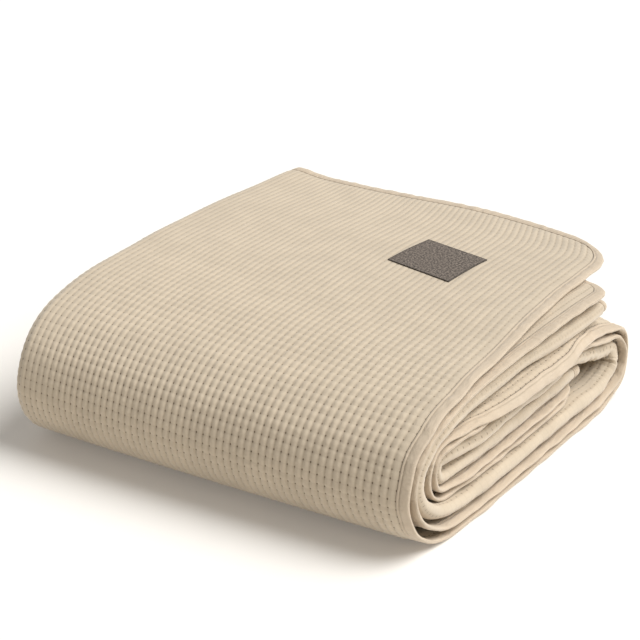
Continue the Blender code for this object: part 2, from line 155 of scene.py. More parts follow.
def stripCurve(samplesPerPlace=60):        # dense samples of the strip's centre line, by length
    rows = np.array([row[1:] for row in placeRows])
    gaps = np.hypot(*np.diff(rows[:, :2], axis=0).T)
    slopes = steadySlopes(rows, gaps)
    shares = np.linspace(0, 1, samplesPerPlace, endpoint=False)[:, None]
    rise = 3 * shares**2 - 2 * shares**3
    leave = shares**3 - 2 * shares**2 + shares
    arrive = shares**3 - shares**2
    spans = []
    for k, gap in enumerate(gaps):
        span = rows[k] + rise * (rows[k + 1] - rows[k])
        spans.append(span + gap * (leave * slopes[k] + arrive * slopes[k + 1]))
    samples = np.vstack(spans + [rows[-1:]])
    steps = np.hypot(*np.diff(samples[:, :2], axis=0).T)
    length = np.concatenate([[0], np.cumsum(steps)])
    heading = np.unwrap(np.arctan2(np.gradient(samples[:, 1], length),
                                   np.gradient(samples[:, 0], length)))
    return length, samples, heading


curveLength, curve, curveHeading = stripCurve()
stripLength = curveLength[-1]

# Cross-section: kind, start, end, level and radius in pitches
foldCentre = strip["leftFold"] + 1.5 * strip["pitch"] + strip["sheet"] / 2
rightCentre = strip["rightFold"] - 0.5 * strip["pitch"] - strip["sheet"] / 2
legs = (
    ("layer", strip["rightEdge"], foldCentre, 1.5, 0),
    ("left fold", foldCentre, foldCentre, 0.0, 1.5),
    ("layer", foldCentre, rightCentre, -1.5, 0),
    ("right fold", rightCentre, rightCentre, -1.0, 0.5),
    ("layer", rightCentre, foldCentre, -0.5, 0),
    ("left fold", foldCentre, foldCentre, 0.0, 0.5),
    ("layer", foldCentre, strip["secondEdge"], 0.5, 0),
)


def legLength(leg):
    kind, start, end, level, radius = leg
    return abs(end - start) if kind == "layer" else math.pi * radius * strip["pitch"]


legEnds = np.cumsum([legLength(leg) for leg in legs])
clothWidth = legEnds[-1]


def spanShare(x):        # 0 at the left fold and 1 at the outer layer's bound edge
    return (x - strip["leftFold"]) / (strip["rightEdge"] - strip["leftFold"])


def section(u):        # x, level in pitches and the face's normal, at u across the cloth
    u = np.clip(u, 0, clothWidth)
    number = np.minimum(np.searchsorted(legEnds, u, side="left"), len(legs) - 1)
    x, level, across, facing = (np.zeros(u.shape) for k in range(4))
    for k, leg in enumerate(legs):
        kind, start, end, legLevel, radius = leg
        here = number == k
        share = 1 - (legEnds[k] - u[here]) / legLength(leg)
        if kind == "layer":
            x[here] = start + (end - start) * share
            level[here] = legLevel
            facing[here] = 1 if end < start else -1
            continue
        outward = 1
        if kind == "right fold":
            angle = np.radians(-90 + 180 * share)
        elif radius > 1:
            angle = np.radians(90 + 180 * share)
        else:
            angle = np.radians(270 - 180 * share)
            outward = -1
        x[here] = start + radius * strip["pitch"] * np.cos(angle)
        level[here] = legLevel + radius * np.sin(angle)
        across[here] = outward * np.cos(angle)
        facing[here] = outward * np.sin(angle)
    return x, level, across, facing


def setBack(u):        # how far the free end stands back at u
    foldPlaces = [0.0, legEnds[1], legEnds[3], legEnds[5], clothWidth]
    back = np.interp(u, foldPlaces, strip["setBacks"])
    across = np.clip(u / legEnds[0], 0, 1)
    bow = np.clip(np.sin(math.pi * across ** strip["bowLean"]), 0, 1)
    return back - strip["bow"] * bow ** strip["bowPoint"]


def sway(level, x, s):        # how far a layer strays from its even spacing, near the layered side
    atSide = smoothStep(x, strip["swayStart"], strip["rightEdge"])
    turn = s / strip["swayWave"] + strip["swayPhase"] * level
    stray = strip["sway"] * np.sin(2 * math.pi * turn)
    ease = strip["spreadEase"]
    even = between(s, strip["swayStop"], strip["swayGo"])
    stray = np.where(level > 1, stray * (1 - even), stray)
    parted = between(s, strip["slitFrom"], strip["slitTo"])
    stray = np.where(level < 0, stray - strip["slit"] * parted, stray)
    for name, start, end, strays in spreadRows:
        share = between(s, (start - ease, start), (end, end + ease))
        stray = stray + share * np.interp(level, layerLevels, strays)
    cup = smoothStep(x, strip["rightEdge"] - strip["cupWidth"], strip["rightEdge"])
    cup = cup * between(s, strip["cupFrom"], strip["cupTo"])
    return stray * atSide - strip["cup"] * cup


# Finer unevenness of the layers at the layered side, which the solids leave out
ripples = {
    "start": 0.15,              # x where it begins
    "rise": 0.0005,
    "reach": 0.0007,
    "waves": (0.041, 0.067, 0.119),
    "usual": 1.7,               # height of the waves' sum that counts as one
    "riseTurns": (2.3, 1.7),    # how far a wave is turned by the layer and by its number
    "reachTurns": (3.1, 2.9),
    "reachStretch": 1.3,        # the waves along x are longer by this
    "flatFrom": (0.74, 0.80),   # the bottom run lies flat between these lengths
    "flatTo": (1.19, 1.24),
    "pleat": 0.0030,            # pleats inside the back turn
    "pleatWave": 0.027,
    "pleatWander": 0.35,        # how unevenly they follow each other
    "wanderWave": 0.055,
    "pleatFrom": (1.235, 1.265),
    "pleatTo": (1.38, 1.43),
    "pleatLevels": (0.2, 1.0),  # they grow from the middle layers to the inmost
}


def ripple(level, x, s):        # how far the layers stray outward and along x
    r = ripples
    fullTurn = 2 * math.pi
    atSide = smoothStep(x, r["start"], strip["rightFold"]) * (s > strip["bulgeCome"][0])
    rise, reach = np.zeros(np.shape(s)), np.zeros(np.shape(s))
    for k, wave in enumerate(r["waves"]):
        byLevel, byNumber = r["riseTurns"]
        rise = rise + np.sin(fullTurn * s / wave + byLevel * level + byNumber * k)
        byLevel, byNumber = r["reachTurns"]
        longer = r["reachStretch"] * wave
        reach = reach + np.sin(fullTurn * s / longer + byLevel * level + byNumber * k)
    inside = between(s, r["pleatFrom"], r["pleatTo"]) * smoothStep(-level, *r["pleatLevels"])
    bend = s / r["pleatWave"] + r["pleatWander"] * np.sin(fullTurn * s / r["wanderWave"])
    pleat = r["pleat"] * inside * (0.5 + 0.5 * np.cos(fullTurn * bend)) ** 2
    held = between(s, r["flatFrom"], r["flatTo"])
    rise = rise * r["rise"] / r["usual"] * (1 - held * (level > 1))
    return (rise - pleat) * atSide, reach * r["reach"] / r["usual"] * atSide


# The inner upper run's outer layer reaches past the layers under it and hangs over them
hang = {
    "from": (1.335, 1.505),     # between these lengths along the strip
    "to": (1.590, 1.760),
    "reach": 0.0165,            # how much further out its seam lies
    "under": 0.005,             # how far the layers under it are drawn in
    "turnIn": 0.007,            # how far all layers are drawn in at the back turn
    "turnFrom": (1.24, 1.33),
    "turnTo": (1.33, 1.52),
    "reachStart": -0.15,        # x where the layer starts to reach further
    "hinge": 0.2625,            # x where it starts to turn down
    "radius": 0.0085,
    "angle": math.radians(70),
}


def hangOver(level, x, s):        # shift along x, shift outward and lean of the face
    atSide = smoothStep(x, ripples["start"], strip["rightFold"])
    here = between(s, hang["from"], hang["to"])
    under = hang["under"] * here * atSide
    here = here * smoothStep(level, 1.0, 1.5)
    past = np.maximum(x - hang["hinge"], 0)
    angle = np.minimum(past / hang["radius"], hang["angle"])
    straight = past - angle * hang["radius"]
    across = hang["radius"] * np.sin(angle) + straight * np.cos(angle) - past
    down = hang["radius"] * (1 - np.cos(angle)) + straight * np.sin(angle)
    across = across + hang["reach"] * smoothStep(x, hang["reachStart"], hang["hinge"])
    turnIn = hang["turnIn"] * atSide * between(s, hang["turnFrom"], hang["turnTo"])
    return across * here - under * (level < 1) - turnIn, -down * here, angle * here


def frontBulge(x, s):        # how far a point of the front bend lies forward of the layered side
    share = between(s, strip["bulgeCome"], strip["bulgeGo"])
    return strip["bulge"] * share * (1 - np.clip(spanShare(x), 0, 1) ** 2)


# The top run's free end is a little wavy: x, rise and reach of each hump
endWave = {
    "humps": ((-0.287, 0.0048, 0.026), (-0.005, 0.0045, 0.105)),
    "fade": 0.17,               # length along the strip over which the humps die out
}


def endRise(x, s):
    rise = np.zeros(np.shape(s))
    for place, height, reach in endWave["humps"]:
        rise = rise + height * np.exp(-((x - place) / reach) ** 2)
    return rise * (1 - smoothStep(s, 0, endWave["fade"]))


def rawPoint(u, s, rise):        # a point rise above the cloth's middle surface
    u, s, rise = np.broadcast_arrays(np.asarray(u, float), np.asarray(s, float), rise)
    s = s + setBack(u) * np.maximum(0, 1 - s / strip["staggerFade"])
    y, z, pitch, left, right, skew, drawIn = (
        np.interp(s, curveLength, curve[:, k]) for k in range(7))
    heading = np.interp(s, curveLength, curveHeading)
    x, level, across, facing = section(u)
    rippleRise, rippleReach = ripple(level, x, s)
    hangReach, hangRise, lean = hangOver(level, x, s)
    out = level * pitch + rise * facing * np.cos(lean) + sway(level, x, s) + rippleRise + hangRise
    x = x + rise * across + rippleReach + hangReach + rise * facing * np.sin(lean)
    x = left + (right - left) * spanShare(x)
    x = x - drawIn * np.clip(1 - u / legEnds[0], 0, 1)
    y = y + out * np.sin(heading) + skew * x - frontBulge(x, s)
    z = z - out * np.cos(heading) + endRise(x, s)
    return np.stack([x, y, z], axis=-1)


# The label tells where the frame's origin lies in the strip's own measures.
label = {
    "size": (0.1072, 0.1003),   # in cloth coordinates, as place, slant and turn
    "place": (0.1988, 0.2307),
    "slant": -0.0108,           # how far its two ends along u are out of line
    "turn": math.radians(5.0),
    "solidSize": (0.1095, 0.1015),      # the same in the solid
    "solidSlant": -0.0215,
    "solidTurn": math.radians(2.3),
    "sheet": 0.0012,
    "gap": 0.0003,
    "grid": (61, 77),           # lines along and across
    "backStep": 4,
}


def labelPlace(shareU, shareS, size, slant, turn):        # cloth coordinates, shares -0.5 to 0.5
    du = size[0] * shareU
    ds = size[1] * shareS + slant * shareU
    cos, sin = math.cos(turn), math.sin(turn)
    return label["place"][0] + du * cos + ds * sin, label["place"][1] - du * sin + ds * cos


cornerU, cornerS = labelPlace(np.array([-0.5, 0.5, -0.5, 0.5]), np.array([-0.5, -0.5, 0.5, 0.5]),
                              label["solidSize"], label["solidSlant"], label["solidTurn"])
labelCorners = rawPoint(cornerU, cornerS, strip["sheet"] / 2 + label["gap"])
labelLow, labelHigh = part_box("label")
move = (np.array(labelLow) + np.array(labelHigh) - labelCorners.min(0) - labelCorners.max(0)) / 2
move[2] = 0


def clothPoint(u, s, rise):
    return rawPoint(u, s, rise) + move


# Stitched grid. n counts stitched lines across the cloth and m along it.
quilting = {
    "pitchRight": 0.0110,       # column width near the layered side
    "pitchLeft": 0.0088,        # and at the left fold
    "meanPitch": 0.0100,        # column width that the paint goes by
    "rowPitch": 0.0123,
    "rowSkew": 0.037,           # rows run this far along the strip for each metre across
    "skewEase": 0.12,
    "puff": 0.0011,             # crown of a cell above the solid's face
    "valley": 0.0012,           # depth of the stitched lines below it
    "crease": 0.50,             # share of the crown lost at a cross line
    "creaseReach": 0.0029,
    "pin": 0.0014,              # extra depth at each crossing
    "pinReach": 0.0014,
    "fullness": 0.85,           # below one, the cells are fuller than half a wave
    "uneven": 0.22,
    "scatter": (12.9898, 78.233, 43758.5453),      # gives each cell its own height
    "foldCalm": 0.6,            # share of the relief that the right fold takes away
    "foldLines": 2.2,
    "leftCalm": 0.45,           # and the left fold
    "leftReach": 0.08,
    "seamRaised": 0.25,         # share of the relief left at a seam
    "innerReach": 0.06,         # on the inner layers only this near a fold or an edge
    "labelEase": (0.5, 0.54),
    "floorFrom": (0.745, 0.785),        # smooth on the floor, between these lengths
    "floorTo": (1.185, 1.22),
    "topRaised": 0.55,          # share of the relief on the top run
    "topRun": (0.30, 0.60),     # which ends between these lengths
}


def columnTable():        # stitched line count by u
    u = np.linspace(0, clothWidth, 8001)
    wider = quilting["pitchRight"] - quilting["pitchLeft"]
    pitch = quilting["pitchLeft"] + wider * spanShare(section(u)[0])
    gaps = np.diff(u) * (1 / pitch[1:] + 1 / pitch[:-1]) / 2
    count = np.concatenate([[0], np.cumsum(gaps)])
    return u, count - np.interp(strip["seam"], u, count)


tableU, tableN = columnTable()


def uOfLine(n):
    return np.interp(n, tableN, tableU)


def lineAt(u):
    return float(np.interp(u, tableU, tableN))


foldMiddle = (legEnds[2] + legEnds[3]) / 2      # of the right fold
foldLine = lineAt(foldMiddle)


def outerRun():        # length along the outer layer's face at each sample of the centre line
    out = 1.5 * curve[:, 2] + strip["sheet"] / 2
    y = curve[:, 0] + out * np.sin(curveHeading)
    z = curve[:, 1] - out * np.cos(curveHeading)
    return np.concatenate([[0], np.cumsum(np.hypot(np.diff(y), np.diff(z)))])


outerLength = outerRun()
firstRowAt = float(np.interp(strip["seam"], curveLength, outerLength))


def rowOfS(s):
    return (np.interp(s, curveLength, outerLength) - firstRowAt) / quilting["rowPitch"]


def rowS(m, u):        # s of row line m, which is skewed but for the ends
    s = np.interp(firstRowAt + quilting["rowPitch"] * m, outerLength, curveLength)
    ease = quilting["skewEase"]
    middle = smoothStep(s, strip["seam"], ease) * (1 - smoothStep(s, stripLength - ease, stripLength))
    return s - quilting["rowSkew"] * middle * (u - legEnds[0] / 2) * (u < legEnds[1])


def cornerCut(distance, radius):        # how far a rounded corner cuts back the end
    inward = np.clip(radius - distance, 0, radius)
    return radius - np.sqrt(radius**2 - inward**2)


def withCorners(u, s):
    radius = strip["corner"] - strip["seam"]
    cut = cornerCut(np.minimum(u, clothWidth - u) - strip["seam"], radius)
    fromStart = np.maximum(s - strip["seam"], 0)
    fromEnd = np.maximum(stripLength - strip["seam"] - s, 0)
    startCut = cut * np.maximum(0, 1 - fromStart / strip["cornerFade"])
    endCut = cut * np.maximum(0, 1 - fromEnd / strip["cornerFade"])
    return s + startCut - endCut


def halfSheet(u, s):
    toEdge = np.minimum(np.minimum(u, clothWidth - u), np.minimum(s, stripLength - s))
    share = np.clip((toEdge - strip["seam"]) / strip["seamTaper"], 0, 1)
    return (strip["seamSheet"] + (strip["sheet"] - strip["seamSheet"]) * share) / 2, share


def reliefWeight(u, s):        # where the stitched grid is raised: not on the floor, nor under the label
    floorRun = between(s, quilting["floorFrom"], quilting["floorTo"])
    reach = quilting["innerReach"]
    cos, sin = math.cos(label["turn"]), math.sin(label["turn"])
    du, ds = u - label["place"][0], s - label["place"][1]
    shareU = (du * cos - ds * sin) / label["size"][0]
    shareS = (du * sin + ds * cos - label["slant"] * shareU) / label["size"][1]
    covered = np.maximum(np.abs(shareU), np.abs(shareS))
    openCloth = smoothStep(covered, *quilting["labelEase"])
    atFold = np.abs(u - foldMiddle) < reach
    atEdge = u > clothWidth - strip["seam"] - reach
    shown = (u <= legEnds[1]) | atFold | atEdge
    stretched = smoothStep(s, *quilting["topRun"])
    raised = quilting["topRaised"] + (1 - quilting["topRaised"]) * stretched
    return (1 - floorRun) * shown * openCloth * raised


def relief(n, m, u, s):
    q = quilting
    columnWidth = np.interp(u, tableU[1:], np.diff(tableU) / np.diff(tableN))
    offN = np.abs(n - np.round(n)) * columnWidth
    offM = np.abs(m - np.round(m)) * q["rowPitch"]
    pillow = np.abs(np.sin(math.pi * n)) ** q["fullness"]
    crease = np.exp(-(offM / q["creaseReach"]) ** 2)
    pin = np.exp(-(offN**2 + offM**2) / q["pinReach"] ** 2)
    byColumn, byRow, spread = q["scatter"]
    cell = np.sin(byColumn * np.floor(n) + byRow * np.floor(m)) * spread
    uneven = 1 + q["uneven"] * (cell - np.floor(cell) - 0.5)
    rise = (q["puff"] + q["valley"]) * pillow * (1 - q["crease"] * crease) * uneven - q["valley"]
    rise = rise - q["pin"] * pin
    taper = halfSheet(u, s)[1]
    atFold = np.exp(-((n - foldLine) / q["foldLines"]) ** 2)
    weight = reliefWeight(u, s) * (1 - q["foldCalm"] * atFold)
    atLeft = smoothStep(u, legEnds[0] - q["leftReach"], legEnds[0])
    weight = weight * (1 - q["leftCalm"] * atLeft)
    return rise * weight * (q["seamRaised"] + (1 - q["seamRaised"]) * taper)


def sheetMesh(name, face, back, faceUv, backStep):
    # Closed thin sheet: a fine face and a coarser back that shares its lines.
    rows, columns = face.shape[:2]
    keepRows = list(range(0, rows - 1, backStep)) + [rows - 1]
    keepColumns = list(range(0, columns - 1, backStep)) + [columns - 1]
    backPoints = back[np.ix_(keepRows, keepColumns)]
    offset = rows * columns
    wide = len(keepColumns)
    i, j = np.meshgrid(np.arange(rows - 1), np.arange(columns - 1), indexing="ij")
    corner = i * columns + j
    fine = np.stack([corner, corner + 1, corner + columns + 1, corner + columns], -1)
    i, j = np.meshgrid(np.arange(len(keepRows) - 1), np.arange(wide - 1), indexing="ij")
    corner = offset + i * wide + j
    coarse = np.stack([corner, corner + wide, corner + wide + 1, corner + 1], -1)
    faces = fine.reshape(-1, 4).tolist() + coarse.reshape(-1, 4).tolist()
    rimFrom = len(faces)

    def rimFaces(fineLine, coarseLine, keep, turned):
        for k in range(len(keep) - 1):
            run = fineLine[keep[k]:keep[k + 1] + 1]
            polygon = list(run) + [coarseLine[k + 1], coarseLine[k]]
            faces.append(polygon[::-1] if turned else polygon)

    last = rows - 1
    end = columns - 1
    backRow = offset + (len(keepRows) - 1) * wide
    rimFaces(list(range(columns)), list(range(offset, offset + wide)), keepColumns, True)
    rimFaces(list(range(last * columns, offset)), list(range(backRow, backRow + wide)),
             keepColumns, False)
    rimFaces(list(range(0, offset, columns)),
             list(range(offset, backRow + 1, wide)), keepRows, False)
    rimFaces(list(range(end, offset, columns)),
             list(range(offset + wide - 1, backRow + wide, wide)), keepRows, True)
    points = np.vstack([face.reshape(-1, 3), backPoints.reshape(-1, 3)])
    uv = np.vstack([faceUv.reshape(-1, 2), faceUv[np.ix_(keepRows, keepColumns)].reshape(-1, 2)])
    return meshPiece(name, points, faces, uv, sharpFrom=rimFrom)


def addObject(name, data):
    thing = bpy.data.objects.new(name, data)
    bpy.context.scene.collection.objects.link(thing)
    return thing


def meshPiece(name, points, faces, uv, sharpFrom=None):
    mesh = bpy.data.meshes.new(name)
    mesh.from_pydata(points.tolist(), [], faces)
    mesh.update()
    layer = mesh.uv_layers.new(name="cloth")
    corners = np.empty(len(mesh.loops), dtype=np.int32)
    mesh.loops.foreach_get("vertex_index", corners)
    layer.data.foreach_set("uv", uv[corners].astype(np.float32).ravel())
    mesh.shade_smooth()
    if sharpFrom is not None:        # the thin rim keeps its corners, so that sheets meet unseen
        sharp = np.zeros(len(mesh.edges), dtype=bool)
        for polygon in mesh.polygons[sharpFrom:]:
            for loop in polygon.loop_indices:
                sharp[mesh.loops[loop].edge_index] = True
        mark = mesh.attributes.new("sharp_edge", "BOOLEAN", "EDGE")
        mark.data.foreach_set("value", sharp)
    return addObject(name, mesh)


def quiltedSheet(name, lines, rowLines, backStep):
    n, m = np.meshgrid(lines, rowLines)
    u = uOfLine(n)
    s = withCorners(u, rowS(m, u))
    half = halfSheet(u, s)[0]
    face = clothPoint(u, s, half + relief(n, m, u, s))
    back = clothPoint(u, s, -half)
    piece = sheetMesh(name, face, back, np.stack([n, m], -1), backStep)
    print("stage:", name, len(lines), "by", len(rowLines))
    return piece


def unevenLines(zones):        # lines at a chosen fineness in each zone: (start, end, step)
    lines = []
    for start, end, step in zones:
        count = max(1, int(round((end - start) / step)))
        lines += list(np.linspace(start, end, count, endpoint=False))
    return np.array(lines + [zones[-1][1]])


panels = {
    "seamLine": legEnds[1],     # u where outer and inner sheets meet
    "seamRow": 68,              # row line where upper and lower sheets meet
    "backTurn": (1.18, 1.44),   # s of the run with a fine grid
    "foldZone": 0.055,          # reach of the fine grid round the right fold
    "edgeZone": 0.088,          # and at the second bound edge
    "fine": 0.25,               # share of a cell between the grid's lines
    "coarse": 1.0,
    "foldStep": 0.33,           # at the left inner fold
    "lowerStep": 0.3333,        # on the inner upper and lower runs
    "outerBack": 4,             # lines of the face for each line of the underside
    "innerBack": 2,
}


lastLine = lineAt(clothWidth - strip["seam"])
seamLine = round(lineAt(panels["seamLine"]) / panels["fine"]) * panels["fine"]
foldFrom, foldTo = lineAt(foldMiddle - panels["foldZone"]), lineAt(foldMiddle + panels["foldZone"])
leftFrom, leftTo = lineAt(legEnds[4]) - 0.5, lineAt(legEnds[5]) + 0.5
edgeFrom = lineAt(clothWidth - panels["edgeZone"])
outerLines = unevenLines([(0.0, seamLine, panels["fine"])])
innerLines = unevenLines([
    (seamLine, foldFrom, panels["coarse"]),
    (foldFrom, foldTo, panels["fine"]),
    (foldTo, leftFrom, panels["coarse"]),
    (leftFrom, leftTo, panels["foldStep"]),
    (leftTo, edgeFrom, panels["coarse"]),
    (edgeFrom, lastLine, panels["fine"]),
])
lastRow = float(rowOfS(stripLength - strip["seam"]))
backStart, backEnd = (round(float(rowOfS(s))) for s in panels["backTurn"])
upperRows = unevenLines([(0.0, panels["seamRow"], panels["fine"])])
lowerRows = unevenLines([
    (panels["seamRow"], backStart, panels["coarse"]),
    (backStart, backEnd, panels["fine"]),
    (backEnd, lastRow, panels["lowerStep"]),
])


binding = {
    "half": 0.0025,             # half thickness of the band
    "gap": 0.0003,
    "ridge": 0.0024,            # how far out the folded inner edge stands
    "stitch": 0.0048,           # how far out the stitches run
    "stitchLength": 0.0032,
    "wander": 0.04,             # share by which the outer edge is uneven
    "pucker": 0.00035,          # height of the puckers
    "puckerFrom": 0.002,        # they lie this far out from the seam
    "puckerTo": 0.0165,
    "seed": 11,
    "waves": 14,
    "slowWaves": (0.05, 0.30),
    "quickWaves": (0.012, 0.035),
    "turns": (0, 6.28),
    "usual": 3.7,               # height of the waves' sum that counts as one
}


def bindingBand():
    # Swept along the sheets' own rim lines, so that it meets them all round.
    lines = np.concatenate([outerLines, innerLines[1:]])
    rowLines = np.concatenate([upperRows, lowerRows[1:]])
    first = [(n, 0.0) for n in lines]
    right = [(lastLine, m) for m in rowLines[1:]]
    last = [(n, lastRow) for n in lines[::-1][1:]]
    left = [(0.0, m) for m in rowLines[::-1][1:-1]]
    rim = np.array(first + right + last + left)
    u = uOfLine(rim[:, 0])
    s = withCorners(u, rowS(rim[:, 1], u))
    radius = strip["corner"]
    across = u - np.clip(u, radius, clothWidth - radius)
    along = s - np.clip(s, radius, stripLength - radius)
    inner = radius - strip["seam"]
    seamHalf = halfSheet(u, s)[0]
    run = np.concatenate([[0], np.cumsum(np.hypot(np.diff(u), np.diff(s)))])
    quick, slow = puckers(run)
    loops, uvs = [], []
    for outward, rise, share in bindingProfile():
        wave = 1 + binding["wander"] * slow * (outward / strip["seam"])
        outU = u + outward * wave * across / inner
        outS = s + outward * wave * along / inner
        lift = rise + seamHalf * share
        if binding["puckerFrom"] < outward < binding["puckerTo"]:
            lift = lift + math.copysign(binding["pucker"], rise) * quick
        loops.append(clothPoint(outU, outS, lift))
        uvs.append(np.stack([run, np.full(run.shape, outward if rise >= 0 else -outward)], -1))
    count = len(rim)
    faces = []
    for k in range(len(loops)):
        this, other = k * count, (k + 1) % len(loops) * count
        for i in range(count):
            j = (i + 1) % count
            faces.append((this + i, other + i, other + j, this + j))
    points = np.concatenate(loops)
    return meshPiece("bindingBand", points, faces, np.concatenate(uvs))


def bindingProfile():
    # outward from the seam, rise above the middle surface, share of the cloth's own half thickness
    half, width = binding["half"], strip["seam"]
    return (
        (binding["gap"], -0.0010, 1),
        (0.0008, 0.0002, 1),
        (binding["ridge"], 0.0007, 1),
        (0.0037, 0.0004, 1),
        (binding["stitch"], 0.0015, 0),
        (0.0059, half + 0.0001, 0),
        (0.0085, half + 0.0004, 0),
        (0.0120, half + 0.0002, 0),
        (0.0158, half, 0),
        (0.0173, half * 0.62, 0),
        (width, 0.0, 0),
        (0.0173, -half * 0.62, 0),
        (0.0158, -half, 0),
        (0.0090, -half - 0.0002, 0),
        (binding["stitch"], -0.0019, 0),
        (binding["ridge"], -0.0003, -1),
        (binding["gap"], 0.0010, -1),
    )


def puckers(run):        # quick and slow waves along the band
    rng = np.random.default_rng(binding["seed"])
    slow, quick = np.zeros(run.shape), np.zeros(run.shape)
    turns = 2 * math.pi * run
    for k in range(binding["waves"]):
        slow += np.sin(turns / rng.uniform(*binding["slowWaves"]) + rng.uniform(*binding["turns"]))
        quick += np.sin(turns / rng.uniform(*binding["quickWaves"]) + rng.uniform(*binding["turns"]))
    return quick / binding["usual"], slow / binding["usual"]


outerUpper = quiltedSheet("quiltedOuterUpper", outerLines, upperRows, panels["outerBack"])
innerUpper = quiltedSheet("quiltedInnerUpper", innerLines, upperRows, panels["innerBack"])
outerLower = quiltedSheet("quiltedOuterLower", outerLines, lowerRows, panels["outerBack"])
innerLower = quiltedSheet("quiltedInnerLower", innerLines, lowerRows, panels["innerBack"])
bindingPiece = bindingBand()
print("stage: binding")


def labelMat():
    rows, columns = label["grid"]
    shareS, shareU = np.meshgrid(np.linspace(-0.5, 0.5, rows),
                                 np.linspace(-0.5, 0.5, columns), indexing="ij")
    u, s = labelPlace(shareU, shareS, label["size"], label["slant"], label["turn"])
    low = strip["sheet"] / 2 + label["gap"]
    face = clothPoint(u, s, low + label["sheet"])
    back = clothPoint(u, s, low)
    uv = np.stack([shareU * label["size"][0], shareS * label["size"][1]], -1)
    return sheetMesh("wovenLabel", face, back, uv, label["backStep"])


labelPiece = labelMat()
print("stage: label")


clothShine = {
    "sheenRoughness": 0.5,
    "specular": 0.25,
}


def newMaterial(name, look):
    paint = bpy.data.materials.new(name)
    paint.use_nodes = True
    shader = paint.node_tree.nodes["Principled BSDF"]
    shader.inputs["Base Color"].default_value = (*look["colour"], 1)
    shader.inputs["Roughness"].default_value = look["roughness"]
    shader.inputs["Sheen Weight"].default_value = look["sheen"]
    shader.inputs["Sheen Roughness"].default_value = clothShine["sheenRoughness"]
    shader.inputs["Specular IOR Level"].default_value = clothShine["specular"]
    return paint, paint.node_tree, shader


def mathNode(tree, operation, first, second=None):
    node = tree.nodes.new("ShaderNodeMath")
    node.operation = operation
    for socket, value in zip(node.inputs, (first, second)):
        if value is None:
            continue
        if isinstance(value, (int, float)):
            socket.default_value = value
        else:
            tree.links.new(value, socket)
    return node.outputs[0]


def times(tree, first, second):
    return mathNode(tree, "MULTIPLY", first, second)


def distanceFrom(tree, value, place):
    return mathNode(tree, "ABSOLUTE", mathNode(tree, "SUBTRACT", value, place))


def mixColour(tree, factor, first, second):
    node = tree.nodes.new("ShaderNodeMix")
    node.data_type = "RGBA"
    for name, value in (("Factor", factor), ("A", first), ("B", second)):
        socket = [s for s in node.inputs if s.name == name and s.enabled][0]
        if hasattr(value, "is_output"):
            tree.links.new(value, socket)
        else:
            socket.default_value = (*value, 1)
    return [s for s in node.outputs if s.enabled][0]


def rangeNode(tree, value, span, toLow=0.0, toHigh=1.0):
    node = tree.nodes.new("ShaderNodeMapRange")
    node.interpolation_type = "SMOOTHSTEP"
    tree.links.new(value, node.inputs["Value"])
    node.inputs["From Min"].default_value = span[0]
    node.inputs["From Max"].default_value = span[1]
    node.inputs["To Min"].default_value = toLow
    node.inputs["To Max"].default_value = toHigh
    return node.outputs["Result"]


def noiseNode(tree, place, scale, detail, roughness=0.5):
    node = tree.nodes.new("ShaderNodeTexNoise")
    node.inputs["Scale"].default_value = scale
    node.inputs["Detail"].default_value = detail
    node.inputs["Roughness"].default_value = roughness
    tree.links.new(place, node.inputs["Vector"])
    return node


def finishPaint(tree, shader, ground, parts, bump):        # parts are heights and their shares
    height = None
    for output, share in parts:
        part = times(tree, output, share)
        height = part if height is None else mathNode(tree, "ADD", height, part)
    node = tree.nodes.new("ShaderNodeBump")
    node.inputs["Strength"].default_value = bump[0]
    node.inputs["Distance"].default_value = bump[1]
    tree.links.new(height, node.inputs["Height"])
    tree.links.new(node.outputs["Normal"], shader.inputs["Normal"])
    tree.links.new(ground, shader.inputs["Base Color"])


def clothUv(tree):
    uv = tree.nodes.new("ShaderNodeUVMap")
    uv.uv_map = "cloth"
    parts = tree.nodes.new("ShaderNodeSeparateXYZ")
    tree.links.new(uv.outputs["UV"], parts.inputs[0])
    return uv.outputs["UV"], parts.outputs["X"], parts.outputs["Y"]


fibreLook = {
    "detail": 3,
    "roughness": 0.65,
    "broad": (26, 4),           # scale and detail of the slow light and dark
    "toneRange": (0.3, 0.7),
    "creases": (105, 34, 105),  # they run along the layers
    "creaseDetail": 3,
    "creaseWander": 0.6,
}


def newGroup(name, given, made):        # inputs with their types, and outputs, which are numbers
    tree = bpy.data.node_groups.new(name, "ShaderNodeTree")
    for socket, kind in given:
        tree.interface.new_socket(socket, in_out="INPUT", socket_type=kind)
    for socket in made:
        tree.interface.new_socket(socket, in_out="OUTPUT", socket_type="NodeSocketFloat")
    start = tree.nodes.new("NodeGroupInput")
    end = tree.nodes.new("NodeGroupOutput")
    return tree, start.outputs, end.inputs


def fibreGroup():        # brushed fibres: a height, a light and dark mask and long soft creases
    tree, given, made = newGroup("brushedFibre", [("Fineness", "NodeSocketFloat")],
                                 ("Height", "Tone", "Crease"))
    place = tree.nodes.new("ShaderNodeTexCoord").outputs["Object"]
    fine = noiseNode(tree, place, 1, fibreLook["detail"], fibreLook["roughness"])
    tree.links.new(given["Fineness"], fine.inputs["Scale"])
    broad = noiseNode(tree, place, *fibreLook["broad"])
    stretch = tree.nodes.new("ShaderNodeMapping")
    stretch.inputs["Scale"].default_value = fibreLook["creases"]
    tree.links.new(place, stretch.inputs["Vector"])
    crease = noiseNode(tree, stretch.outputs["Vector"], 1, fibreLook["creaseDetail"])
    crease.inputs["Distortion"].default_value = fibreLook["creaseWander"]
    tree.links.new(fine.outputs["Fac"], made["Height"])
    tree.links.new(broad.outputs["Fac"], made["Tone"])
    tree.links.new(crease.outputs["Fac"], made["Crease"])
    return tree


